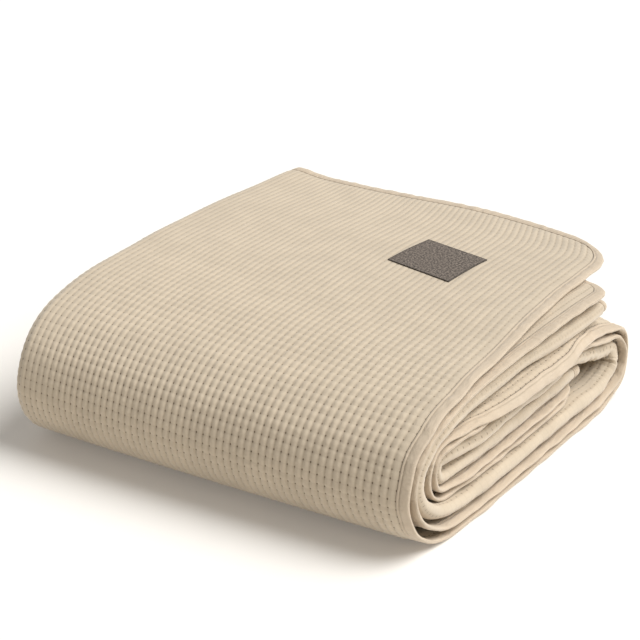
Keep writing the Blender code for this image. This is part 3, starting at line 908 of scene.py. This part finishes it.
def weaveGroup():        # threads over and under each other: a height from a place in metres
    tree, given, made = newGroup("plainWeave", [("Place", "NodeSocketVector"),
                                                ("Threads", "NodeSocketFloat")], ("Height",))
    parts = tree.nodes.new("ShaderNodeSeparateXYZ")
    tree.links.new(given["Place"], parts.inputs[0])
    turns = times(tree, given["Threads"], math.pi)
    warp = mathNode(tree, "SINE", times(tree, parts.outputs["X"], turns))
    weft = mathNode(tree, "SINE", times(tree, parts.outputs["Y"], turns))
    tree.links.new(times(tree, warp, weft), made["Height"])
    return tree


fibre = fibreGroup()
weave = weaveGroup()


def fibreNode(tree, fineness):
    node = tree.nodes.new("ShaderNodeGroup")
    node.node_tree = fibre
    node.inputs["Fineness"].default_value = fineness
    return node.outputs


def weaveNode(tree, uv, threads):
    node = tree.nodes.new("ShaderNodeGroup")
    node.node_tree = weave
    node.inputs["Threads"].default_value = threads
    tree.links.new(uv, node.inputs["Place"])
    return node.outputs["Height"]


def toned(tree, look, tone):        # the colour, a little lighter and darker over the cloth
    darkest, lightest = look["tones"]
    return mixColour(tree, rangeNode(tree, tone, fibreLook["toneRange"]),
                     tuple(darkest * c for c in look["colour"]),
                     tuple(lightest * c for c in look["colour"]))


# Reaches are in millimetres from a stitched line or a hole; heights are shares of the bump.
clothFinish = {
    "colour": (0.60, 0.507, 0.385),
    "tones": (0.96, 1.03),
    "paintedLineShade": (0.38, 0.30, 0.205),        # painted shade in the stitched lines and the binding's stitch groove
    "hole": (0.14, 0.098, 0.060),       # painted shade at the needle holes and along the binding's seam
    "roughness": 0.88,
    "sheen": 0.35,
    "holeReach": (0.6, 1.25),
    "holeStretch": 0.7,
    "holeShade": 0.75,
    "topRows": (28, 68),        # the painted hole shade is lighter on the top run, which faces the light, and darker on the front
    "topShades": (0.38, 1.28),
    "foldLines": (1.5, 3.5),    # the painted hole shade is also weaker at the right fold
    "foldShade": 0.55,
    "lineReach": (0.2, 2.2),
    "lineShade": 0.30,
    "crossReach": (0.1, 1.6),
    "crossShade": 0.12,
    "fibres": 900,
    "fibreHeight": 0.25,
    "toneHeight": 2.5,
    "creaseHeight": 2.5,
    "lineHeight": -0.5,
    "holeHeight": -0.8,
    "bump": (0.55, 0.0008),     # strength and distance
}


def quiltedCloth():
    look = clothFinish
    paint, tree, shader = newMaterial("quiltedCloth", look)
    line, row = clothUv(tree)[1:]
    across = times(tree, mathNode(tree, "PINGPONG", line, 0.5), 1000 * quilting["meanPitch"])
    along = times(tree, mathNode(tree, "PINGPONG", row, 0.5), 1000 * quilting["rowPitch"])
    alongShare = times(tree, times(tree, along, along), look["holeStretch"])
    away = mathNode(tree, "ADD", times(tree, across, across), alongShare)
    hole = rangeNode(tree, mathNode(tree, "SQRT", away), look["holeReach"], 1.0, 0.0)
    fromFold = distanceFrom(tree, line, foldLine)
    hole = times(tree, hole, rangeNode(tree, fromFold, look["foldLines"], look["foldShade"], 1.0))
    # painted shade along the stitched lines and the cross lines; the valley mask also dents the bump
    valley = rangeNode(tree, across, look["lineReach"], 1.0, 0.0)
    cross = rangeNode(tree, along, look["crossReach"], 1.0, 0.0)
    lines = mathNode(tree, "MAXIMUM", times(tree, valley, look["lineShade"]),
                     times(tree, cross, look["crossShade"]))
    soft = fibreNode(tree, look["fibres"])
    ground = mixColour(tree, lines, toned(tree, look, soft["Tone"]), look["paintedLineShade"])
    # painted light: the hole shade by row, lighter on the top run that faces the light
    holeShadeByLight = rangeNode(tree, row, look["topRows"], *look["topShades"])
    # painted shade at the needle holes
    paintedHoleShade = times(tree, hole, times(tree, holeShadeByLight, look["holeShade"]))
    ground = mixColour(tree, paintedHoleShade, ground, look["hole"])
    finishPaint(tree, shader, ground, (
        (soft["Height"], look["fibreHeight"]),
        (soft["Tone"], look["toneHeight"]),
        (soft["Crease"], look["creaseHeight"]),
        (valley, look["lineHeight"]),
        (hole, look["holeHeight"]),
    ), look["bump"])
    return paint


bindingFinish = {
    "colour": (0.60, 0.498, 0.378),
    "tones": (0.97, 1.02),
    "roughness": 0.86,
    "sheen": 0.30,
    "grooveReach": (0.2, 0.9),  # painted shade in the groove, reaching from the row of stitches
    "grooveShade": 0.35,
    "seamReach": (0.5, 1.4),    # painted shade in the crevice at the seam, reaching from the seam
    "seamShade": 0.5,
    "stitchEnds": (0.10, 0.16),
    "fibres": 1100,
    "threads": 1300,            # in a metre
    "fibreHeight": 0.2,
    "toneHeight": 2.0,
    "creaseHeight": 8.0,
    "weaveHeight": 0.12,
    "stitchHeight": 0.5,
    "bump": (0.5, 0.0006),
}


def bindingCloth():
    look = bindingFinish
    paint, tree, shader = newMaterial("bindingCloth", look)
    uv, run, outward = clothUv(tree)
    outward = times(tree, mathNode(tree, "ABSOLUTE", outward), 1000.0)
    fromStitch = distanceFrom(tree, outward, 1000 * binding["stitch"])
    groove = rangeNode(tree, fromStitch, look["grooveReach"], 1.0, 0.0)
    seam = rangeNode(tree, outward, look["seamReach"], 1.0, 0.0)
    dash = mathNode(tree, "PINGPONG", times(tree, run, 1 / binding["stitchLength"]), 0.5)
    stitch = times(tree, groove, rangeNode(tree, dash, look["stitchEnds"]))
    soft = fibreNode(tree, look["fibres"])
    # painted shade in the stitch groove
    ground = mixColour(tree, times(tree, groove, look["grooveShade"]),
                       toned(tree, look, soft["Tone"]), clothFinish["paintedLineShade"])
    # painted shade in the crevice along the seam where the binding meets the cloth
    ground = mixColour(tree, times(tree, seam, look["seamShade"]), ground, clothFinish["hole"])
    finishPaint(tree, shader, ground, (
        (soft["Height"], look["fibreHeight"]),
        (soft["Tone"], look["toneHeight"]),
        (soft["Crease"], look["creaseHeight"]),
        (weaveNode(tree, uv, look["threads"]), look["weaveHeight"]),
        (stitch, look["stitchHeight"]),
    ), look["bump"])
    return paint


labelFinish = {
    "colour": (0.145, 0.116, 0.094),
    "pale": (0.27, 0.221, 0.182),
    "dark": (0.042, 0.033, 0.027),
    "roughness": 0.80,
    "sheen": 0.15,
    "specks": (330, 4, 0.75),   # scale, detail and roughness
    "speckRange": (0.42, 0.60),
    "patches": (45, 2),
    "patchRange": (0.35, 0.7),
    "patchShade": 0.3,
    "edgeReach": (0.0012, 0.0024),      # metres
    "edgeShade": 0.7,
    "threads": 1100,
    "weaveHeight": 0.3,
    "bump": (0.5, 0.0006),
}


def labelWeave():
    look = labelFinish
    paint, tree, shader = newMaterial("labelWeave", look)
    uv, placeU, placeS = clothUv(tree)
    speck = noiseNode(tree, uv, *look["specks"]).outputs["Fac"]
    patch = noiseNode(tree, uv, *look["patches"]).outputs["Fac"]
    ground = mixColour(tree, rangeNode(tree, speck, look["speckRange"]), look["dark"], look["pale"])
    ground = mixColour(tree, rangeNode(tree, patch, look["patchRange"], 0.0, look["patchShade"]),
                       ground, look["colour"])
    edgeU = mathNode(tree, "SUBTRACT", label["size"][0] / 2, mathNode(tree, "ABSOLUTE", placeU))
    edgeS = mathNode(tree, "SUBTRACT", label["size"][1] / 2, mathNode(tree, "ABSOLUTE", placeS))
    rim = rangeNode(tree, mathNode(tree, "MINIMUM", edgeU, edgeS), look["edgeReach"], 1.0, 0.0)
    ground = mixColour(tree, times(tree, rim, look["edgeShade"]), ground, look["dark"])
    finishPaint(tree, shader, ground, (
        (speck, 1.0),
        (weaveNode(tree, uv, look["threads"]), look["weaveHeight"]),
    ), look["bump"])
    return paint


quiltedPaint = quiltedCloth()
sheets = (outerUpper, innerUpper, outerLower, innerLower)
for piece in sheets:
    piece.data.materials.append(quiltedPaint)
    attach(piece, "root")
    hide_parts("quilted_panel")
bindingPiece.data.materials.append(bindingCloth())
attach(bindingPiece, "root")
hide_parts("binding")
labelPiece.data.materials.append(labelWeave())
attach(labelPiece, "root")
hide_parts("label")

view = {
    "azimuth": 32.69,
    "elevation": 26.25,
    "lens": 157.95,
    "sensor": 36,
    "distance": 3.764,
    "target": (-0.0744, 0.0879, 0.0873),        # in the strip's own measures
}


def aim(thing, direction):
    thing.rotation_mode = "QUATERNION"
    thing.rotation_quaternion = direction.to_track_quat("-Z", "Y")


def addCamera():
    data = bpy.data.cameras.new("photoCamera")
    data.lens = view["lens"]
    data.sensor_width = view["sensor"]
    camera = addObject("photoCamera", data)
    a, e = math.radians(view["azimuth"]), math.radians(view["elevation"])
    back = Vector((math.sin(a) * math.cos(e), -math.cos(a) * math.cos(e), math.sin(e)))
    camera.location = Vector(view["target"]) + Vector(move) + view["distance"] * back
    aim(camera, -back)
    bpy.context.scene.camera = camera


studio = {
    "sunFrom": (1.3, 0.68, 2.0),
    "sunSpread": 46,            # degrees
    "sunStrength": 3.45,
    "skyColour": (1.0, 0.955, 0.89),
    "skyStrength": 0.31,
    "floorColour": (0.87, 0.845, 0.805),
    "floorRoughness": 0.9,
    "floorGlow": 0.10,
    "floorReach": 6.0,
}


def addSun():
    data = bpy.data.lights.new("keyLight", "SUN")
    data.angle = math.radians(studio["sunSpread"])
    data.energy = studio["sunStrength"]
    lamp = addObject("keyLight", data)
    lamp.location = studio["sunFrom"]
    aim(lamp, -Vector(studio["sunFrom"]))


def addFloor():
    mesh = bpy.data.meshes.new("floor")
    reach = studio["floorReach"]
    mesh.from_pydata([(-reach, -reach, 0), (reach, -reach, 0), (reach, reach, 0), (-reach, reach, 0)],
                     [], [(0, 1, 2, 3)])
    paint = bpy.data.materials.new("paleFloor")
    paint.use_nodes = True
    shader = paint.node_tree.nodes["Principled BSDF"]
    shader.inputs["Base Color"].default_value = (*studio["floorColour"], 1)
    shader.inputs["Roughness"].default_value = studio["floorRoughness"]
    shader.inputs["Emission Color"].default_value = (1, 1, 1, 1)
    shader.inputs["Emission Strength"].default_value = studio["floorGlow"]
    mesh.materials.append(paint)
    floor = addObject("floor", mesh)


def addWorld():
    world = bpy.data.worlds.new("studio")
    world.use_nodes = True
    background = world.node_tree.nodes["Background"]
    background.inputs["Color"].default_value = (*studio["skyColour"], 1)
    background.inputs["Strength"].default_value = studio["skyStrength"]
    bpy.context.scene.world = world


addCamera()
addFloor()
addWorld()
addSun()
bpy.context.scene.view_settings.view_transform = "Standard"
print("stage: studio")
